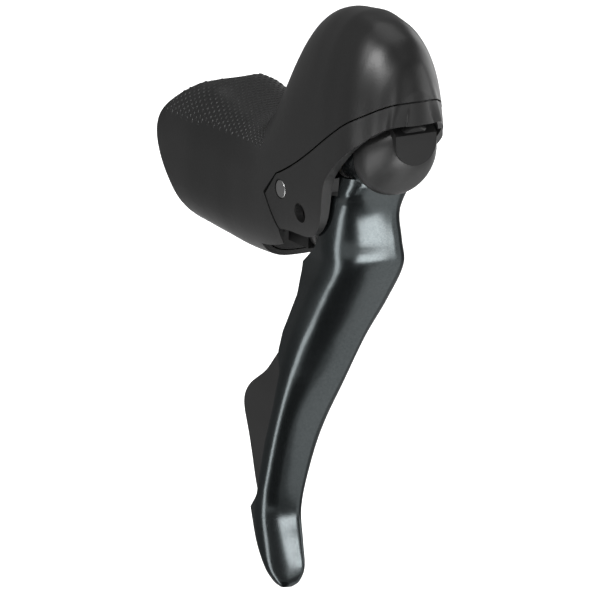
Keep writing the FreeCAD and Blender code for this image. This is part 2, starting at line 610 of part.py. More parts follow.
def make_carrier():
    x, z, eye = n("pivot_x"), n("pivot_z"), n("eye_radius")
    shaft_z, flange, front = n("shaft_z"), n("flange_x"), n("paddle_eye_x") - n("side_gap")
    bush = n("pin_radius") + n("run_fit") + n("bush_wall")
    body = rod(eye, (x, -EYE_OUTBOARD, z), (0, 1, 0), EYE_OUTBOARD + EYE_INBOARD)
    web = [(x + 1, z - eye + 0.3), (x + 13, z + 4.5), (front, shaft_z - 10.4), (front, shaft_z + 9),
           (flange, shaft_z + 9), (flange - 6.5, shaft_z - 4), (x + 1, z + eye - 0.4)]
    body = body.fuse(prism_y(web, -WEB_HALF, WEB_HALF))
    body = body.fuse(rod(n("flange_radius"), (flange, 0, shaft_z), (1, 0, 0), front - flange))
    lug = [(x - 4.5, z - 5), (x - 4.5, REACH_Z - 3.2), (x + 7, REACH_Z - 3.2), (x + 7, REACH_Z + 3),
           (x + 6, z - 1)]
    body = body.fuse(prism_y(lug, REACH_Y - REACH_HALF, REACH_Y + REACH_HALF))
    tip = on_stroke(-HORN_RADIUS)
    horn = [(x - 1, z - eye + 0.4), (tip.x + 0.8, tip.z - HORN_RADIUS + 0.2), (tip.x - 0.6, tip.z + 1.5),
            (tip.x + 0.3, tip.z + 2), (x - 5, z + 4.2), (x - 1, z + eye - 0.6)]
    body = body.fuse(prism_y(horn, -HORN_HALF, HORN_HALF))
    body = body.fuse(rod(HORN_RADIUS, (tip.x, -HORN_HALF, tip.z), (0, 1, 0), 2 * HORN_HALF))
    body = body.cut(rod(bush, (x, -FAR, z), (0, 1, 0), 2 * FAR))
    body = body.cut(rod(n("shaft_radius"), (x, 0, shaft_z), (1, 0, 0), FAR))
    body = body.cut(rod(SHAFT_HEAD + n("fit_gap"), (x, 0, shaft_z), (1, 0, 0), flange - x))
    body = body.cut(rod(REACH_RADIUS, (0, REACH_Y, REACH_Z), (1, 0, 0), FAR))
    body = body.cut(ring_pocket(5.4, 8.6, front - PADDLE_POCKET))
    solid_piece("lever_carrier", body)
    spring = coil(7.0, 0.4, 2.5, 1.0)
    spring.Placement = Placement(Vector(front - PADDLE_POCKET + 0.6, 0, shaft_z), FORWARD)
    solid_piece("paddle_spring", spring)


def make_carrier_parts():
    bush = n("pin_radius") + n("run_fit")
    outer = bush + n("bush_wall")
    bushes = []
    for end, way in ((-EYE_OUTBOARD, 1), (EYE_INBOARD, -1)):
        tube = rod(outer, (n("pivot_x"), end, n("pivot_z")), (0, way, 0), BUSH_LONG)
        tube = tube.fuse(rod(outer + 1.4, (n("pivot_x"), end, n("pivot_z")), (0, -way, 0), BUSH_FLANGE))
        bushes.append(tube.cut(rod(bush, (n("pivot_x"), -FAR, n("pivot_z")), (0, 1, 0), 2 * FAR)))
    solid_piece("pivot_bushes", Part.makeCompound(bushes))
    high, socket, floor = REACH_LONG + 2.8, 1.2, REACH_LONG + 1.1
    turned("reach_screw", [(0, 0), (REACH_RADIUS, 0), (REACH_RADIUS, REACH_LONG), (REACH_HEAD, REACH_LONG),
                           (REACH_HEAD, high), (socket, high), (socket, floor), (0, floor)],
           (d("pivot_x") - 4.5, REACH_Y, REACH_Z))
    shaft, bevel = d("shaft_radius"), 0.5
    long = d("cover_x") + SHAFT_END - d("flange_x")
    turned("main_shaft", [(0, -SHAFT_HEAD_LONG), (SHAFT_HEAD, -SHAFT_HEAD_LONG), (SHAFT_HEAD, 0), (shaft, 0),
                          (shaft, long - bevel), (shaft - bevel, long), (0, long)],
           (d("flange_x"), 0, d("shaft_z")))
    sleeve("index_plate", d("barrel_radius") + 0.3, d("works_radius") - 0.1, INDEX_THICK,
           (d("cover_x") + INDEX_X, 0, d("shaft_z")))
    pawl_pin("hold_pawl_pin", HOLD_ANGLE, n("cover_x") + 0.8, n("cover_x") + INDEX_X)


def round_shaft(angle, radius, x):
    """A point at an angle round the shift axis."""
    turn = math.radians(angle)
    return Vector(x, radius * math.cos(turn), n("shaft_z") + radius * math.sin(turn))


def pawl_pin(label, angle, start, end):
    place = round_shaft(angle, n("pawl_pin_ring"), start)
    turned(label, [(0, 0), (d("pawl_pin_radius"), 0), (d("pawl_pin_radius"), end - start), (0, end - start)],
           tuple(place))


def make_pawl(label, angle):
    start = n("cover_x") + PAWL_X
    hub = round_shaft(angle, n("pawl_pin_ring"), start)
    tip_low = round_shaft(angle + PAWL_SWEEP, n("tooth_tip") + 0.3, start)
    tip_high = round_shaft(angle + PAWL_SWEEP - 3, n("tooth_tip") + 1.6, start)
    upper = round_shaft(angle + 3, n("pawl_pin_ring") + PAWL_HUB - 0.2, start)
    lower = round_shaft(angle + 3, n("pawl_pin_ring") - PAWL_HUB + 0.2, start)
    arm = Part.Face(Part.makePolygon([lower, tip_low, tip_high, upper, lower]))
    arm = arm.extrude(Vector(PAWL_THICK, 0, 0))
    pawl = arm.fuse(rod(PAWL_HUB, tuple(hub), (1, 0, 0), PAWL_THICK))
    pawl = pawl.cut(rod(n("pawl_pin_radius") + n("run_fit"), tuple(hub), (1, 0, 0), PAWL_THICK))
    solid_piece(label, pawl)


def make_drum():
    start, tip, depth = n("cover_x") + 0.6, n("tooth_tip"), n("tooth_depth")
    points = []
    for tooth in range(TEETH):
        turn = 360.0 * tooth / TEETH
        points.append(round_shaft(turn, tip, start))
        points.append(round_shaft(turn + 1.5, tip - depth, start))
    wheel = Part.Face(Part.makePolygon(points + points[:1])).extrude(Vector(TOOTH_LONG, 0, 0))
    barrel, axis = n("barrel_radius"), (start, 0, n("shaft_z"))
    drum = wheel.fuse(rod(barrel, axis, (1, 0, 0), DRUM_LONG))
    drum = drum.cut(rod(n("shaft_radius") + n("run_fit"), axis, (1, 0, 0), DRUM_LONG))
    hole = round_shaft(CABLE_ANGLE, barrel, start + TOOTH_LONG + 1.6)
    drum = drum.cut(rod(CABLE_HOLE, tuple(hole), (1, 0, 0), DRUM_LONG))
    solid_piece("cable_drum", drum)


# Dome of the unit cover: forward of the rim, share of the rim's radius, rise of the middle
COVER_RINGS = ((0, 1.0, 0.0), (2.5, 0.99, 0.1), (4.5, 0.947, 0.6), (7, 0.84, 1.7), (9.5, 0.71, 2.9),
               (11.8, 0.557, 4.0), (13.4, 0.366, 4.8))


def make_cover():
    """Cap of the shift unit: a dome that leans upwards, with a flat U-shaped front."""
    rim, front, middle = n("cover_x"), n("cover_front"), n("shaft_z")
    outer, works = n("knuckle_radius") + 0.1, n("works_radius")
    rings = []
    for x, share, rise in COVER_RINGS:
        circle = Part.makeCircle(outer * share, Vector(rim + x, 0, middle + rise), Vector(1, 0, 0))
        rings.append(Part.Wire(circle))
    body = loft(rings)
    nose_half, nose_x, low, high = n("facet_half_width"), rim + 6, middle + 5.3, middle + 11
    nose = rod(nose_half, (nose_x, 0, low), (1, 0, 0), front - nose_x)
    nose = nose.fuse(Part.makeBox(front - nose_x, 2 * nose_half, 5.0, Vector(nose_x, -nose_half, low)))
    nose = nose.common(prism_y([(rim, -FAR), (front, -FAR), (front, high - 3.1), (front - 3.4, high),
                                (rim, high)]))
    body = body.fuse(nose)
    for radius, depth in ((works, INDEX_X + INDEX_THICK + 0.05), (n("tooth_tip") + 0.9, DRUM_LONG + 1.1),
                          (n("shaft_radius") + 0.3, SHAFT_END + 0.4)):
        body = body.cut(rod(radius, (rim, 0, middle), (1, 0, 0), depth))
    solid_piece("unit_cover", body)


# Blade: rows of Z, front X, middle Y, width, outboard rear X, inboard depth, lean of the front face
BLADE_ROWS = ((12, 102.4, -1.5, 21, 80, 8.6, 0), (2, 97.8, -3.3, 19.2, 80, 6.2, 9),
              (-7, 96.15, -2.9, 20.6, 78, 5.6, 12.9), (-15, 94.8, -1.9, 21.3, 73.4, 4.6, 13),
              (-27, 87.4, -3.2, 21.0, 71.5, 4.2, 15), (-40, 79.6, -5.2, 19.2, 64.7, 4.0, 15),
              (-55, 73, -8.0, 17.8, 60, 4.0, 15), (-69, 67.4, -10.2, 15.6, 56.4, 4.2, 14),
              (-82, 64.4, -12.0, 13.8, 54.5, 4.5, 13), (-95, 63.0, -13.4, 12.5, 54.2, 4.8, 12),
              (-105, 66.0, -14, 11.8, 58.2, 6.5, 10), (-112, 68.4, -14.1, 10.2, 62.0, 6, 8),
              (-116, 68.4, -14.2, 6.5, 64.2, 3.6, 5), (-117.4, 67.2, -14.3, 3.4, 65.2, 1.8, 2))
# Upper rear edge of the blade's outboard wall, up to the level of the knuckle
BLADE_SHOULDER = ((60, -24), (68, -19.6), (70.9, -17.6), (75.4, -14.9), (80, -11.2), (82.6, -6.5),
                  (84.2, 0), (85, 6))


def corner_arc(before, corner, after, radius):
    """Rounds one corner of a flat outline: the two ends and the middle of the arc."""
    one = (before - corner).normalize()
    two = (after - corner).normalize()
    half = one.getAngle(two) / 2
    reach = radius / math.tan(half)
    middle = (one + two).normalize()
    heart = corner + middle * (radius / math.sin(half))
    return corner + one * reach, heart - middle * radius, corner + two * reach


def blade_wire(row, inset, rear_extra):
    z, front, middle, width, rear, depth, lean = row
    half = width / 2 - inset
    skew = half * math.tan(math.radians(lean))
    front = front - inset
    out_front = Vector(front - skew, middle - half, z)
    in_front = Vector(front + skew, middle + half, z)
    out_rear = Vector(rear - rear_extra, middle - half, z)
    in_rear = Vector(front + skew - depth + inset - rear_extra, middle + half, z)
    radius = max(min(width * 0.19, depth * 0.8) - inset, 0.35)
    one = corner_arc(out_rear, out_front, in_front, radius)
    two = corner_arc(out_front, in_front, in_rear, radius)
    return Part.Wire([Part.makeLine(out_rear, one[0]), Part.Arc(*one).toShape(),
                      Part.makeLine(one[2], two[0]), Part.Arc(*two).toShape(),
                      Part.makeLine(two[2], in_rear), Part.makeLine(in_rear, out_rear)])


def above_shoulder():
    """All that the blade leaves free behind its knuckle, where the paddle and the carrier are."""
    edge = list(BLADE_SHOULDER)
    low, high, knuckle = edge[0], edge[-1], n("knuckle_x")
    return curved_prism_y([edge, (high, (knuckle, high[1])), ((knuckle, high[1]), (knuckle, FAR)),
                           ((knuckle, FAR), (-FAR, FAR)), ((-FAR, FAR), (-FAR, low[1])),
                           ((-FAR, low[1]), low)])


def make_blade():
    """Channel of painted sheet: one loft less a smaller one, trimmed to pass inside the side plate."""
    outer = loft([blade_wire(row, 0.0, 0.0) for row in BLADE_ROWS])
    inner = loft([blade_wire(row, n("blade_wall"), 8.0) for row in BLADE_ROWS[:-3]])
    body = outer.cut(inner)
    rim = n("cover_x") - n("side_gap")
    body = body.common(Part.makeBox(FAR, FAR, 2 * FAR, Vector(rim - FAR, -FAR / 2, -FAR)))
    body = body.cut(above_shoulder())
    beside = Part.makeBox(FAR, FAR, FAR, Vector(0, n("room_gap") - n("plate_gap") - FAR, -FAR / 2))
    body = body.cut(beside.cut(under_edge(LOWER_EDGE, -FAR, FAR, SHOULDER_DROP)))
    knuckle, bush = n("knuckle_x"), n("shaft_radius") + n("run_fit") + n("bush_wall")
    body = body.fuse(rod(n("knuckle_radius"), (knuckle, 0, n("shaft_z")), (1, 0, 0), rim - knuckle))
    body = body.cut(paddle_window())
    body = body.cut(rod(bush, (0, 0, n("shaft_z")), (1, 0, 0), FAR))
    start = rim - SPRING_POCKET
    body = body.cut(ring_pocket(5.8, 8.3, start))
    pin = round_shaft(DRIVE_ANGLE, n("pawl_pin_ring"), rim - PIN_SUNK)
    body = body.cut(rod(n("pawl_pin_radius"), tuple(pin), (1, 0, 0), FAR))
    solid_piece("brake_blade", max(body.Solids, key=lambda item: item.Volume))
    shaft = d("shaft_radius") + d("run_fit")
    sleeve("blade_bush", shaft, shaft + d("bush_wall"), d("cover_x") - d("side_gap") - d("knuckle_x"),
           (d("knuckle_x"), 0, d("shaft_z")))
    spring = coil(7.05, 0.5, 2.5, 1.4)
    spring.Placement = Placement(Vector(start + 0.6, 0, n("shaft_z")), FORWARD)
    solid_piece("blade_spring", spring)
    pawl_pin("drive_pawl_pin", DRIVE_ANGLE, rim - PIN_SUNK, n("cover_x") + PAWL_X + PAWL_THICK + 0.3)


WINDOW_EDGE = ((63.5, -46.5), (66, -52), (64, -62), (60.5, -74), (58.5, -84), (57.4, -92))


def paddle_window():
    """Gap in the outboard wall of the blade, where the paddle's fin stands out."""
    edge = list(WINDOW_EDGE)
    high, low = edge[0], edge[-1]
    return curved_prism_y([((0, high[1]), high), edge, (low, (0, low[1])), ((0, low[1]), (0, high[1]))])


# Paddle: rows of Z, rear X of the fin, front X, outboard Y, inboard Y
PADDLE_ROWS = ((-40, 67, 74.2, -10.6, -3), (-47.2, 59.4, 71.0, -12.6, -4), (-52, 55.5, 69.2, -13.4, -4.5),
               (-56.5, 50.5, 67.4, -14.0, -5), (-61, 44.5, 65.7, -14.6, -6), (-65, 42.4, 64.1, -14.9, -6.8),
               (-69, 43.4, 62.7, -15.3, -7.6), (-76, 47, 60.6, -15.8, -9), (-84, 50.5, 58.6, -16.4, -11),
               (-91, 53.7, 56.8, -16.8, -13))


def paddle_wire(row):
    z, rear, front, out, inside = row
    corners = [(rear, out), (front, out), (front, inside), (front - PADDLE_WALL, inside),
               (front - PADDLE_WALL, out + PADDLE_WALL), (rear, out + PADDLE_WALL)]
    points = [Vector(x, y, z) for x, y in corners]
    return Part.makePolygon(points + points[:1])


# Arm of the paddle: Z, rear X, front X, outboard Y, inboard Y
ARM_ROWS = ((18, 88.1, 91.8, -5, 5), (2, 88.8, 91.2, -4.5, 1.5), (-12, 86.5, 89.6, -5.5, 0.5),
            (-26, 79, 82.3, -7.5, -1), (-44, 69.6, 72.6, -11, -4))


def arm_wire(row):
    z, rear, front, out, inside = row
    points = [Vector(x, y, z) for x, y in ((rear, out), (front, out), (front, inside), (rear, inside))]
    return Part.makePolygon(points + points[:1])


def make_paddle():
    x, z = n("paddle_eye_x"), n("shaft_z")
    thick = n("knuckle_x") - n("side_gap") - x
    body = rod(n("knuckle_radius") - 0.2, (x, 0, z), (1, 0, 0), thick)
    body = body.fuse(loft([arm_wire(row) for row in ARM_ROWS]))
    body = body.fuse(loft([paddle_wire(row) for row in PADDLE_ROWS]))
    body = body.cut(rod(n("shaft_radius") + n("run_fit") + n("bush_wall"), (0, 0, z), (1, 0, 0), FAR))
    solid_piece("release_paddle", body)
    shaft = d("shaft_radius") + d("run_fit")
    sleeve("paddle_bush", shaft, shaft + d("bush_wall"), d("knuckle_x") - d("side_gap") - d("paddle_eye_x"),
           (d("paddle_eye_x"), 0, d("shaft_z")))


make_hood()
make_bracket()
make_clamp()
make_pivot()
make_reservoir()
make_cylinder()
make_carrier()
make_carrier_parts()
make_cover()
make_drum()
make_pawl("hold_pawl", HOLD_ANGLE)
make_pawl("drive_pawl", DRIVE_ANGLE)
make_blade()
make_paddle()

doc.recompute()
failed = [item.Name for item in doc.Objects if {"Invalid", "Error"} & set(item.State)]
if failed:
    raise RuntimeError(f"not built: {failed}")
pieces = [item for item in doc.Objects if item.TypeId in ("Part::Feature", "PartDesign::Body")]
for piece in pieces:
    if piece.Shape.isNull() or not piece.Shape.isValid():
        raise RuntimeError(f"{piece.Label} has no sound shape")
os.makedirs("parts", exist_ok=True)
for piece in pieces:
    piece.Shape.exportStep(f"parts/{piece.Label}.step")
    print(piece.Label, len(piece.Shape.Solids), round(piece.Shape.Volume, 1))
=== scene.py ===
# %% [markdown]
# A brake and shift lever for a drop handlebar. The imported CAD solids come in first, as a fixed frame:
# every piece keeps its place and its body. After that come the camera, the light and the finishes,
# so that each later step can be judged in the picture it is meant for.

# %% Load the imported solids
import json
import math

import bpy
from mathutils import Matrix, Vector


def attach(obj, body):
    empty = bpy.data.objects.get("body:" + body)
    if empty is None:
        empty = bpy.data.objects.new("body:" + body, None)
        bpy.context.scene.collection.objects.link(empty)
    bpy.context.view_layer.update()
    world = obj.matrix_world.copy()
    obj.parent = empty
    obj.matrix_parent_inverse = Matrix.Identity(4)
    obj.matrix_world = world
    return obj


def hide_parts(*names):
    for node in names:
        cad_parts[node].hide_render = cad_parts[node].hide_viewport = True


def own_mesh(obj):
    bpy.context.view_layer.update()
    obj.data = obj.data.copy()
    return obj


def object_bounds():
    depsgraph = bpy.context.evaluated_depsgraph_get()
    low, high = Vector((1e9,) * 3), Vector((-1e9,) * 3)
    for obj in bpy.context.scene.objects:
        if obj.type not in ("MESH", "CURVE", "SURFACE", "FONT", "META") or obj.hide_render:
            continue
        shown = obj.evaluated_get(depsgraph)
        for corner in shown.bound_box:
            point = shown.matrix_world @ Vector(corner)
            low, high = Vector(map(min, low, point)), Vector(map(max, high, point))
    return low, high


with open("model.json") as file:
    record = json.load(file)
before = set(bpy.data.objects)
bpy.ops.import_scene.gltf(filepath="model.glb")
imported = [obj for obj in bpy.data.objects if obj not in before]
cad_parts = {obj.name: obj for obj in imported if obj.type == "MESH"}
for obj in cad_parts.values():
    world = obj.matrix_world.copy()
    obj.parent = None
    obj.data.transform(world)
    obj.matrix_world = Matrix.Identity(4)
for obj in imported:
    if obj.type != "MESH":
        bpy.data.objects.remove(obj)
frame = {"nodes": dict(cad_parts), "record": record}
cad_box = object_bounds()
nodes = frame["nodes"]
MM = 0.001
print("solids", len(nodes), "box", [[round(v, 4) for v in corner] for corner in cad_box])

# %% [markdown]
# The lever was photographed with a long lens from its outboard side, a little above the clamp. A long lens keeps
# the knob and the blade at the same scale, so the camera stands far off and looks at the middle of the frame.

# %% Camera
AZIMUTH, ELEVATION = math.radians(-30.0), math.radians(15.0)
LOOK_AT = Vector((49.4, 0.0, -36.0)) * MM
DISTANCE = 6.0
FRAME_WIDTH = 176.5 * MM
to_camera = Vector((math.cos(ELEVATION) * math.cos(AZIMUTH), math.cos(ELEVATION) * math.sin(AZIMUTH),
                    math.sin(ELEVATION)))
camera = bpy.data.objects.new("camera", bpy.data.cameras.new("camera"))
camera.data.sensor_width = 36.0
camera.data.lens = camera.data.sensor_width * DISTANCE / FRAME_WIDTH
camera.data.clip_end = 40.0
camera.location = LOOK_AT + to_camera * DISTANCE
camera.rotation_euler = to_camera.to_track_quat("Z", "Y").to_euler()
bpy.context.scene.collection.objects.link(camera)
bpy.context.scene.camera = camera
print("lens", round(camera.data.lens, 1), "mm")

# %% [markdown]
# A material is a small tree of nodes. One helper adds a node, sets it and links it; one turns the usual sRGB hex
# code of a colour into the linear light that a shader works with; one starts a material with its plain numbers set;
# and one turns a real size in millimetres into the scale of a texture.

# %% Helpers for materials


def linear(code):
    """Linear colour of an sRGB hex code."""
    parts = [int(code[k:k + 2], 16) / 255 for k in (1, 3, 5)]
    return [c / 12.92 if c <= 0.04045 else ((c + 0.055) / 1.055) ** 2.4 for c in parts] + [1.0]


def add_node(tree, kind, inputs=None, **settings):
    """Adds one node. Inputs are numbers, colours or the outputs of other nodes."""
    made = tree.nodes.new(kind)
    for name, value in settings.items():
        setattr(made, name, value)
    for name, value in (inputs or {}).items():
        if isinstance(value, bpy.types.NodeSocket):
            tree.links.new(value, made.inputs[name])
        else:
            made.inputs[name].default_value = value
    return made


def start_finish(name, **sockets):
    """A new material with its shader's sockets set; gives the material, its tree and its shader."""
    material = bpy.data.materials.new(name)
    material.use_nodes = True
    tree = material.node_tree
    shader = tree.nodes["Principled BSDF"]
    for socket, value in sockets.items():
        shader.inputs[socket.replace("_", " ")].default_value = value
    return material, tree, shader


def per_mm(size):
    """Texture scale that gives features of a size in millimetres."""
    return 1.0 / (size * MM)


# %% [markdown]
# The floor is a white paper sweep far below the lever. It needs to be white only where the camera looks past the
# lever, so two wide lamps hang low over the paper there, facing down: they whiten the ground, keep its shadow, and
# shine on nothing else. The room itself is an even mid grey, which is what the dark sides of the lever mirror.

# %% White ground in a grey room
ROOM_GREY = 0.28
FLOOR = cad_box[0][2] - 0.45
bpy.ops.object.select_all(action="DESELECT")
bpy.ops.mesh.primitive_plane_add(size=40.0, location=(0, 0, FLOOR))
floor = bpy.context.object
floor.name = "floor"
bpy.ops.object.transform_apply(location=True)
paper, tree, shader = start_finish("white_paper_sweep", Roughness=0.9, Specular_IOR_Level=0.1)
place = add_node(tree, "ShaderNodeTexCoord").outputs["Object"]
fibre = add_node(tree, "ShaderNodeTexNoise", {"Vector": place, "Scale": per_mm(2.0), "Detail": 2.0}).outputs[0]
tone = add_node(tree, "ShaderNodeMix", {"Factor": fibre, 6: linear("#f5f5f5"), 7: linear("#f8f8f8")},
                data_type="RGBA")
tree.links.new(tone.outputs[2], shader.inputs["Base Color"])
floor.data.materials.append(paper)

world = bpy.data.worlds.new("studio")
bpy.context.scene.world = world
world.use_nodes = True
world.node_tree.nodes["Background"].inputs["Color"].default_value = (1, 1, 1, 1)
world.node_tree.nodes["Background"].inputs["Strength"].default_value = ROOM_GREY
bpy.context.scene.view_settings.view_transform = "Standard"
print("floor at", round(FLOOR, 3), "m")

# %% [markdown]
# Dark, shiny things are lit by what they mirror. A soft lamp high on the left lights the flats of the knob. A narrow
# one low on the left draws the bright line down the rounded edge of the blade. A small panel close to the front
# shows only in the bend of the blade and at its tip, because it is near. The last five keep the flat front of the
# blade, the top, the knob and the far side from going black.

# %% Lamps


def soft_lamp(name, aim, offset, size, radiance):
    """A lamp that stands off from a point and faces it; radiance is how bright its face looks."""
    lamp = bpy.data.objects.new(name, bpy.data.lights.new(name, "AREA"))
    lamp.data.shape = "RECTANGLE"
    lamp.data.size, lamp.data.size_y = size
    lamp.data.energy = math.pi * size[0] * size[1] * radiance
    lamp.location = aim + Vector(offset)
    lamp.rotation_euler = Vector(offset).to_track_quat("Z", "Y").to_euler()
    lamp.visible_camera = False
    bpy.context.scene.collection.objects.link(lamp)


KNOB, BEND, BLADE = Vector((100, -10, 40)) * MM, Vector((96, 0, -14)) * MM, Vector((68, -10, -62)) * MM
UNDER_BLADE = BLADE - Vector((0, 0, 0.175))
# Name, the point that it faces, where it stands from there, its width and height, all in metres, and its brightness
LAMPS = (("high_left", KNOB, (0.07, -0.50, 0.38), (0.20, 0.24), 32.0),
         ("left_strip", UNDER_BLADE, (0.108, -0.332, 0.0), (0.085, 0.45), 10.0),
         ("near_panel", BEND, (0.094, -0.024, -0.058), (0.060, 0.040), 16.0),
         ("under_front", BLADE, (0.24, 0.105, -0.21), (0.18, 0.5), 1.6),
         ("overhead", KNOB, (-0.1, 0.1, 0.7), (0.6, 0.6), 1.6),
         ("front", KNOB, (0.8, 0.0, 0.1), (0.5, 0.5), 1.8),
         ("far_side", KNOB, (0.36, 0.62, 0.12), (0.5, 0.5), 3.2),
         ("far_behind", KNOB, (-0.30, 0.75, 0.05), (0.6, 0.6), 1.4))
GROUND_SIZE, GROUND_HEIGHT, GROUND_BRIGHT = (1.3, 1.3), 0.30, 1.9
reach = (LOOK_AT.z - FLOOR) / math.tan(ELEVATION)
for name, degrees in (("ground_behind", 150.0), ("ground_across", -45.0)):
    heading = math.radians(degrees)
    patch = Vector((LOOK_AT.x + reach * math.cos(heading), reach * math.sin(heading), FLOOR))
    soft_lamp(name, patch, (0, 0, GROUND_HEIGHT), GROUND_SIZE, GROUND_BRIGHT)
for lamp in LAMPS:
    soft_lamp(*lamp)

# %% [markdown]
# Between the two lamps that the blade mirrors stands a card of black velvet. It draws the dark band beside the
# bright line, as photographers do with black card. The camera sees neither the lamps nor the card.

# %% Black card
CARD_SIZE, CARD_OFF = (0.2, 0.34, 1.0), 0.3
toward_card = Vector((0.52, -0.36, -0.77))
bpy.ops.object.select_all(action="DESELECT")
bpy.ops.mesh.primitive_plane_add(size=1.0)
card = bpy.context.object
card.name = "black_card"
card.scale = CARD_SIZE
card.rotation_euler = toward_card.to_track_quat("Z", "Y").to_euler()
card.location = BLADE + toward_card * CARD_OFF
bpy.ops.object.transform_apply(location=True, rotation=True, scale=True)
card.visible_camera = False
velvet, tree, shader = start_finish("black_velvet", Base_Color=linear("#0c0c0c"), Roughness=1.0,
                                    Specular_IOR_Level=0.0)
card.data.materials.append(velvet)
print("card", CARD_SIZE[:2], "m")

# %% [markdown]
# The hood is moulded from black thermoplastic rubber. Its skin is matt, with a very fine grain from the mould, and
# it polishes a little where hands rub it. A fine noise gives the grain, and a broad one the polish.

# %% Moulded rubber of the hood
rubber, tree, shader = start_finish("moulded_grip_rubber", IOR=1.5, Specular_IOR_Level=0.3)
place = add_node(tree, "ShaderNodeTexCoord").outputs["Object"]
grain = add_node(tree, "ShaderNodeTexNoise", {"Vector": place, "Scale": per_mm(0.6), "Detail": 2.0}).outputs[0]
rubbed = add_node(tree, "ShaderNodeTexNoise", {"Vector": place, "Scale": per_mm(22), "Detail": 3.0}).outputs[0]
tone = add_node(tree, "ShaderNodeMix", {"Factor": rubbed, 6: linear("#121212"), 7: linear("#191919")},
                data_type="RGBA")
dull = add_node(tree, "ShaderNodeMapRange", {"Value": rubbed, "From Min": 0.3, "From Max": 0.7, "To Min": 0.40,
                                             "To Max": 0.32})
skin = add_node(tree, "ShaderNodeBump", {"Height": grain, "Strength": 0.3, "Distance": 0.06 * MM})
tree.links.new(tone.outputs[2], shader.inputs["Base Color"])
tree.links.new(dull.outputs[0], shader.inputs["Roughness"])
tree.links.new(skin.outputs[0], shader.inputs["Normal"])
print("finish", rubber.name)

# %% [markdown]
# The bracket, the cap of the shift unit and the paddle are glass-filled nylon. Spark-eroded moulds leave it satin,
# with a grain of a few tenths of a millimetre and hardly any change of tone. The drum and the seals, which are
# hidden, are close enough to it to share its tree with other numbers.

# %% Moulded resins


def resin(name, dark, light, roughness, grain_mm, depth_mm):
    """Filled nylon as it leaves the mould: fine grain, slight unevenness of tone and of gloss."""
    material, tree, shader = start_finish(name, IOR=1.53, Specular_IOR_Level=0.28)
    place = add_node(tree, "ShaderNodeTexCoord").outputs["Object"]
    grain = add_node(tree, "ShaderNodeTexNoise", {"Vector": place, "Scale": per_mm(grain_mm), "Detail": 3.0})
    cloud = add_node(tree, "ShaderNodeTexNoise", {"Vector": place, "Scale": per_mm(15), "Detail": 2.0}).outputs[0]
    tone = add_node(tree, "ShaderNodeMix", {"Factor": cloud, 6: linear(dark), 7: linear(light)}, data_type="RGBA")
    dull = add_node(tree, "ShaderNodeMapRange", {"Value": cloud, "To Min": roughness - 0.05,
                                                 "To Max": roughness + 0.05})
    skin = add_node(tree, "ShaderNodeBump", {"Height": grain.outputs[0], "Strength": 0.25, "Distance": depth_mm * MM})
    tree.links.new(tone.outputs[2], shader.inputs["Base Color"])
    tree.links.new(dull.outputs[0], shader.inputs["Roughness"])
    tree.links.new(skin.outputs[0], shader.inputs["Normal"])
    return material


bracket_resin = resin("glass_filled_nylon", "#121212", "#171717", 0.42, 0.45, 0.05)
cover_resin = resin("satin_nylon_cap", "#0e0e0e", "#131313", 0.42, 0.35, 0.02)
paddle_resin = resin("matt_nylon_paddle", "#161616", "#1c1c1c", 0.45, 0.45, 0.05)
drum_resin = resin("acetal_drum", "#505050", "#5c5c5c", 0.4, 0.4, 0.02)
seal_rubber = resin("nitrile_seal", "#141414", "#1c1c1c", 0.5, 0.4, 0.02)
print("finishes", [m.name for m in (bracket_resin, cover_resin, paddle_resin, drum_resin, seal_rubber)])

# %% [markdown]
# The blade is pressed aluminium under dark grey metallic paint. Tiny aluminium flakes in the paint lie at slightly
# different angles, so its mirror is soft and grained. Real flakes are a few hundredths of a millimetre; here they
# are drawn at 0.3 mm so that they show at all.

# %% Painted blade
blade_paint, tree, shader = start_finish("metallic_paint_on_aluminium", Metallic=0.9, Coat_Weight=0.08,
                                         Coat_Roughness=0.12)
place = add_node(tree, "ShaderNodeTexCoord").outputs["Object"]
flake = add_node(tree, "ShaderNodeTexVoronoi", {"Vector": place, "Scale": per_mm(0.3)}).outputs
tone = add_node(tree, "ShaderNodeMix", {"Factor": flake["Color"], 6: linear("#2a2e2f"), 7: linear("#343839")},
                data_type="RGBA")
gloss = add_node(tree, "ShaderNodeMapRange", {"Value": flake["Distance"], "To Min": 0.16, "To Max": 0.26})
grains = add_node(tree, "ShaderNodeBump", {"Height": flake["Distance"], "Strength": 0.06, "Distance": 0.03 * MM})
tree.links.new(tone.outputs[2], shader.inputs["Base Color"])
tree.links.new(gloss.outputs[0], shader.inputs["Roughness"])
tree.links.new(grains.outputs[0], shader.inputs["Normal"])
print("finish", blade_paint.name)

# %% [markdown]
# Pins, screws and springs are steel, turned or drawn, and the cylinder is turned aluminium. The tool leaves fine
# rings and lines, which show as a slight unevenness of the gloss.

# %% Plain metals


def metal(name, code, roughness, streak_mm):
    """Turned or drawn metal, with its gloss broken up by fine tool marks."""
    material, tree, shader = start_finish(name, Metallic=1.0, Base_Color=linear(code))
    place = add_node(tree, "ShaderNodeTexCoord").outputs["Object"]
    marks = add_node(tree, "ShaderNodeTexNoise", {"Vector": place, "Scale": per_mm(streak_mm), "Detail": 3.0})
    rough = add_node(tree, "ShaderNodeMapRange", {"Value": marks.outputs[0], "To Min": roughness - 0.09,
                                                  "To Max": roughness + 0.09})
    skin = add_node(tree, "ShaderNodeBump", {"Height": marks.outputs[0], "Strength": 0.1, "Distance": 0.02 * MM})
    tree.links.new(rough.outputs[0], shader.inputs["Roughness"])
    tree.links.new(skin.outputs[0], shader.inputs["Normal"])
    return material


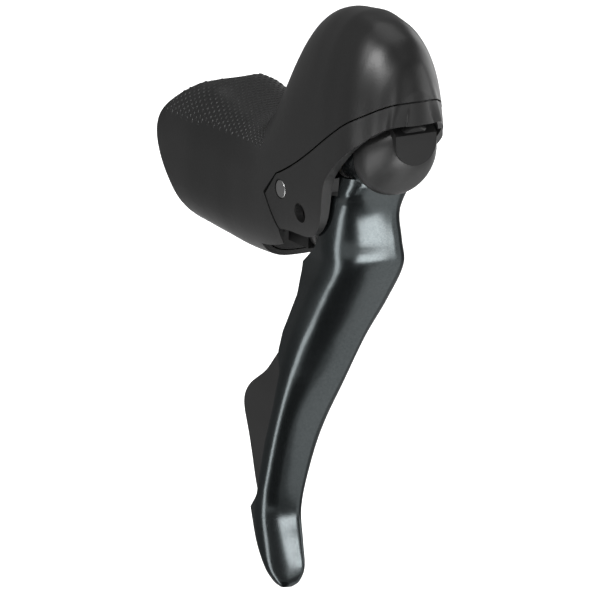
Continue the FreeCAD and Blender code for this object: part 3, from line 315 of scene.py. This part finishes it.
bright_steel = metal("turned_steel", "#8c8c8c", 0.35, 0.4)
dark_steel = metal("blackened_steel", "#505050", 0.45, 0.4)
plain_alloy = metal("turned_aluminium", "#c2c4c6", 0.35, 0.4)
dark_alloy = metal("black_anodised_aluminium", "#303030", 0.5, 0.3)
bush_bronze = metal("bearing_bronze", "#b59a5a", 0.4, 0.4)
print("finishes", [m.name for m in (bright_steel, dark_steel, plain_alloy, dark_alloy, bush_bronze)])

# %% [markdown]
# Each solid already names the slot of its finish in the record, so one loop dresses them all.

# %% Finishes on the solids
FINISHES = {"hood_rubber": rubber, "bracket_resin": bracket_resin, "cover_resin": cover_resin,
            "blade_paint": blade_paint, "paddle_resin": paddle_resin, "dark_alloy": dark_alloy,
            "plain_alloy": plain_alloy, "bright_steel": bright_steel, "dark_steel": dark_steel,
            "bush_bronze": bush_bronze, "seal_rubber": seal_rubber, "drum_resin": drum_resin}
for part in frame["record"]["subparts"]:
    solid = nodes[part["node"]]
    solid.data.materials.clear()
    solid.data.materials.append(FINISHES[part["material_slot"]])

# %% [markdown]
# The blade is a long channel of thin sheet. Its outboard corner is a broad round that runs into the front without
# an edge, and it carries the bright line that tells the eye how the blade bends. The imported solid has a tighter
# corner there and a gap low in that wall, so this piece stands for it. A channel whose width, lean and depth all
# change along a curve is more than an extrusion can follow, so its sections are worked out in code, one ring for
# each height, and skinned. All sizes here are in millimetres.

# %% Sizes along the blade
# Height, front, middle, width, depth of the inboard wall, lean of the front in degrees, and how far the outboard
# corner is moved forward
BLADE_ROWS = (
    (13, 102.5, -1.4, 21.0, 8.6, 0, 0), (12, 102.4, -1.5, 21.0, 8.6, 0, 0), (2, 97.8, -3.3, 19.2, 6.2, 9, -1),
    (-7, 96.15, -2.9, 20.6, 5.6, 12.9, -1.5), (-15, 94.8, -1.9, 21.3, 4.6, 13, -0.5),
    (-27, 87.4, -3.2, 21.0, 4.2, 15, 0), (-40, 79.6, -5.2, 19.2, 4.0, 15, 0), (-55, 73.0, -8.0, 17.8, 4.0, 15, 1.6),
    (-69, 67.4, -10.2, 15.6, 4.2, 14, 2.2), (-82, 64.4, -12.0, 13.8, 4.5, 13, 1.4),
    (-95, 63.0, -13.4, 12.5, 4.8, 12, 0), (-105, 66.0, -14.0, 11.8, 6.5, 10, -1.5),
    (-112, 68.4, -14.1, 10.2, 6.0, 8, -2.5), (-116, 68.4, -14.2, 6.5, 3.6, 5, -1),
    (-117.4, 67.2, -14.3, 3.4, 1.8, 2, 0))
# Rear edge of the outboard wall: height, place. It leaves room for the paddle's fin
REAR_EDGE = ((13, 93), (7, 93), (6, 85), (0, 84.2), (-6.5, 82.6), (-11.2, 80), (-14.9, 75.4), (-17, 72.9),
             (-27, 71.5), (-40, 64.7), (-46.5, 63.5), (-52, 66), (-62, 64), (-74, 60.5), (-84, 58.5), (-91, 57.4),
             (-95, 54.2), (-105, 58.2), (-112, 62), (-116, 64.2), (-117.4, 65.2))
WALL, SPARE = 1.2, 0.3
# Outboard corner: shares of the width that its round takes from the side and from the front
SIDE_ROUND, FRONT_ROUND = 0.42, 0.72
# Inboard corner: its round, and the most that it may take of the wall's depth and of the width
TIGHT_ROUND, TIGHT_DEPTH, TIGHT_WIDTH = 3.5, 0.7, 0.2
# Above this height the wall passes inside the bracket's plate; below that one the tip is solid; each with its fade
PLATE_LOW, PLATE_FADE, PLATE_INSIDE = -22, 5, -12.7
TIP_START, TIP_FADE = -100, 6
print("blade rows", len(BLADE_ROWS), "length", BLADE_ROWS[0][0] - BLADE_ROWS[-1][0], "mm")

# %% [markdown]
# Four helpers do the drawing: a smooth line through the rows, the straight-sided rear edge, a bend that leans into a
# corner, and a fade. A section then runs along the outside of the channel and back along its inside, one wall away.

# %% One section of the blade


def along(table, z):
    """Values at a height, on a smooth line through a table's rows."""
    k = max([i for i in range(len(table) - 1) if table[i][0] >= z] or [0])
    a, b = table[k], table[k + 1]
    before, after = table[max(k - 1, 0)], table[min(k + 2, len(table) - 1)]
    step = b[0] - a[0]
    t = (z - a[0]) / step
    found = []
    for v in range(1, len(a)):
        leave, reach = (b[v] - before[v]) / (b[0] - before[0]), (after[v] - a[v]) / (after[0] - a[0])
        found.append((2 * t ** 3 - 3 * t ** 2 + 1) * a[v] + (t ** 3 - 2 * t ** 2 + t) * step * leave
                     + (3 * t ** 2 - 2 * t ** 3) * b[v] + (t ** 3 - t ** 2) * step * reach)
    return found


def edge_at(z):
    """Rear edge of the outboard wall at a height, straight between its corners."""
    for (above, x), (below, next_x) in zip(REAR_EDGE, REAR_EDGE[1:]):
        if above >= z >= below:
            return x + (next_x - x) * (above - z) / (above - below)


def bend(start, corner, end, count):
    """Points of a smooth bend from start to end that leans towards the corner."""
    return [start * (1 - t) ** 2 + corner * 2 * t * (1 - t) + end * t ** 2
            for t in [k / count for k in range(count + 1)]]


def part_way(value, fade):
    """0 before a place, 1 after its fade."""
    return min(max(value / fade, 0), 1)


def blade_ring(z):
    """One closed section of the blade: along its outside, and back along its inside."""
    front, middle, width, depth, lean, on = along(BLADE_ROWS, z)
    half, skew = width / 2, width / 2 * math.tan(math.radians(lean))
    out_y = middle - half + max(PLATE_INSIDE - (middle - half), 0) * part_way(z - PLATE_LOW, PLATE_FADE)
    rear, corner = Vector((edge_at(z), out_y)), Vector((front - skew + on, out_y))
    far, tail = Vector((front + skew, middle + half)), Vector((front + skew - depth, middle + half))
    across, back = (far - corner).normalized(), (tail - far).normalized()
    tight = min(TIGHT_ROUND, depth * TIGHT_DEPTH, width * TIGHT_WIDTH)
    side_end = Vector((corner.x - min(SIDE_ROUND * width, corner.x - rear.x - SPARE), out_y))
    front_start = corner + across * min(FRONT_ROUND * width, (far - corner).length - tight - SPARE)
    front_end, inboard_start = far - across * tight, far + back * tight
    outside = [rear.lerp(side_end, k / 4) for k in range(4)]
    outside += bend(side_end, corner, front_start, 16)
    outside += [front_start.lerp(front_end, k / 5) for k in range(1, 5)]
    outside += bend(front_end, far, inboard_start, 6)
    outside += [inboard_start.lerp(tail, k / 2) for k in (1, 2)]
    last, inside = len(outside) - 1, []
    for k, point in enumerate(outside):
        way = (outside[min(k + 1, last)] - outside[max(k - 1, 0)]).normalized()
        inner = point + Vector((-way.y, way.x)) * WALL
        inside.append(inner.lerp(rear.lerp(tail, k / last), part_way(TIP_START - z, TIP_FADE)))
    return [Vector((p.x, p.y, z)) * MM for p in outside + inside[::-1]]


print("points in a section", len(blade_ring(0)))

# %% [markdown]
# The rings lie 1.5 mm apart, and closer together near the tip, where the blade narrows fast. Each is joined to the
# next by four-sided faces, and the two ends are closed with strips across the wall.

# %% Skin of the blade
heights = [13 - 1.5 * k for k in range(79)] + [-105 - 0.8 * k for k in range(1, 15)] + [-116.8, -117.2, -117.4]
rings = [blade_ring(z) for z in heights]
count, last_ring = len(rings[0]), (len(rings) - 1) * len(rings[0])
points = [p for ring in rings for p in ring]
faces = [(r * count + k, r * count + (k + 1) % count, (r + 1) * count + (k + 1) % count, (r + 1) * count + k)
         for r in range(len(rings) - 1) for k in range(count)]
for start in (0, last_ring):
    faces += [(start + k, start + k + 1, start + count - 2 - k, start + count - 1 - k)
              for k in range(count // 2 - 1)]
blade = bpy.data.objects.new("brake_blade_skin", bpy.data.meshes.new("brake_blade_skin"))
blade.data.from_pydata(points, [], faces)
bpy.context.scene.collection.objects.link(blade)
print("rings", len(rings), "faces", len(faces))

# %% [markdown]
# The round head that turns on the shaft is cut from a copy of the solid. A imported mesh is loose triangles, so the
# copy's doubles are merged first; then a bisect keeps what lies above the skin, and closes the cut.

# %% Head of the blade
HEAD_FROM = 12.4 * MM


def edit_only(piece):
    """Selects one piece, all of its mesh, and goes into edit mode."""
    bpy.ops.object.select_all(action="DESELECT")
    piece.select_set(True)
    bpy.context.view_layer.objects.active = piece
    bpy.ops.object.mode_set(mode="EDIT")
    bpy.ops.mesh.select_all(action="SELECT")


def merged_copy(name, node):
    """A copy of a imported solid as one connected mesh, left in edit mode with all of it selected."""
    piece = bpy.data.objects.new(name, nodes[node].data.copy())
    bpy.context.scene.collection.objects.link(piece)
    edit_only(piece)
    bpy.ops.mesh.remove_doubles(threshold=1e-6)
    bpy.ops.mesh.select_all(action="SELECT")
    return piece


head = merged_copy("blade_head", "brake_blade")
bpy.ops.mesh.bisect(plane_co=(0, 0, HEAD_FROM), plane_no=(0, 0, 1), use_fill=True, clear_inner=True)
bpy.ops.object.mode_set(mode="OBJECT")
edit_only(blade)
bpy.ops.mesh.normals_make_consistent(inside=False)
bpy.ops.object.mode_set(mode="OBJECT")
head.select_set(True)
bpy.ops.object.join()
bpy.ops.object.shade_smooth_by_angle(angle=math.radians(35))
blade.data.materials.clear()
blade.data.materials.append(blade_paint)
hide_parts("brake_blade")
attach(blade, "blade")
print("blade faces", len(blade.data.polygons))

# %% [markdown]
# The top of the grip has rows of small raised dashes, moulded in one with the rubber, that keep a hand from sliding.
# One dash is modelled from a bevelled block, and each copy is dropped on the hood by a ray from outside, so that it
# lies on the curve wherever it lands. They are set like bricks, each row half a step on from the last.

# %% One raised dash
DASH_SIZE, DASH_BEVEL = Vector((0.85, 1.5, 0.5)) * MM, 0.22 * MM
bpy.context.view_layer.update()
bpy.ops.object.select_all(action="DESELECT")
bpy.ops.mesh.primitive_cube_add(size=1.0)
dash = bpy.context.object
dash.scale = DASH_SIZE
bpy.ops.object.transform_apply(scale=True)
bpy.ops.object.mode_set(mode="EDIT")
bpy.ops.mesh.select_all(action="SELECT")
bpy.ops.mesh.bevel(offset=DASH_BEVEL, segments=1)
bpy.ops.object.mode_set(mode="OBJECT")
dash.data.materials.append(rubber)
print("dash faces", len(dash.data.polygons))

# %% Rows of dashes on the grip
ROWS, ROW_PITCH, FIRST_ROW = 37, 1.5, 1.0
SIDE_STEPS, ROUND_PITCH, GRIP_RADIUS = 17, 2.2, 19.0
GRIP_MIDDLE, CAST_FROM, CAST_FAR = 8.0, 70 * MM, 65 * MM
LOWEST, STEEPEST = 13.2 * MM, -0.75
PROUD = 0.12 * MM
hood = nodes["hood"]
copies = []
for row in range(ROWS):
    middle = Vector((FIRST_ROW + ROW_PITCH * row, 0, GRIP_MIDDLE)) * MM
    for step in range(-SIDE_STEPS, SIDE_STEPS + 1):
        angle = (step + 0.5 * (row % 2)) * ROUND_PITCH / GRIP_RADIUS
        outward = Vector((0, -math.sin(angle), math.cos(angle)))
        start = middle + outward * CAST_FROM
        hit, spot, normal, _ = hood.ray_cast(start, -outward)
        if not hit or spot.z < LOWEST or normal.x < STEEPEST or (spot - start).length > CAST_FAR:
            continue
        round_grip = normal.cross(Vector((1, 0, 0))).normalized()
        turn = Matrix((round_grip.cross(normal), round_grip, normal)).transposed().to_4x4()
        copy = dash.copy()
        copy.data = dash.data.copy()
        copy.matrix_world = Matrix.Translation(spot + normal * (PROUD - DASH_SIZE.z / 2)) @ turn
        bpy.context.scene.collection.objects.link(copy)
        copies.append(copy)
bpy.data.objects.remove(dash)
bpy.ops.object.select_all(action="DESELECT")
for copy in copies:
    copy.select_set(True)
bpy.context.view_layer.objects.active = copies[0]
bpy.ops.object.join()
bpy.ops.object.transform_apply(location=True, rotation=True, scale=True)
dashes = bpy.context.object
dashes.name = "grip_dashes"
bpy.ops.object.shade_smooth_by_angle(angle=math.radians(50))
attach(dashes, "bracket")
print("dashes", len(copies), "faces", len(dashes.data.polygons))

# %% [markdown]
# Inside the cylinder a coil spring pushes the piston back. When the lever is pulled, the piston comes up and the coil
# has to shorten by the piston's travel. A copy of the solid, with its doubles merged and smooth shaded, stands in its
# place on the bracket.

# %% Return spring of the piston
coil = merged_copy("piston_return_coil", "piston_spring")
bpy.ops.object.mode_set(mode="OBJECT")
bpy.ops.object.shade_smooth_by_angle(angle=math.radians(40))
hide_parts("piston_spring")
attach(coil, "bracket")
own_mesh(coil)
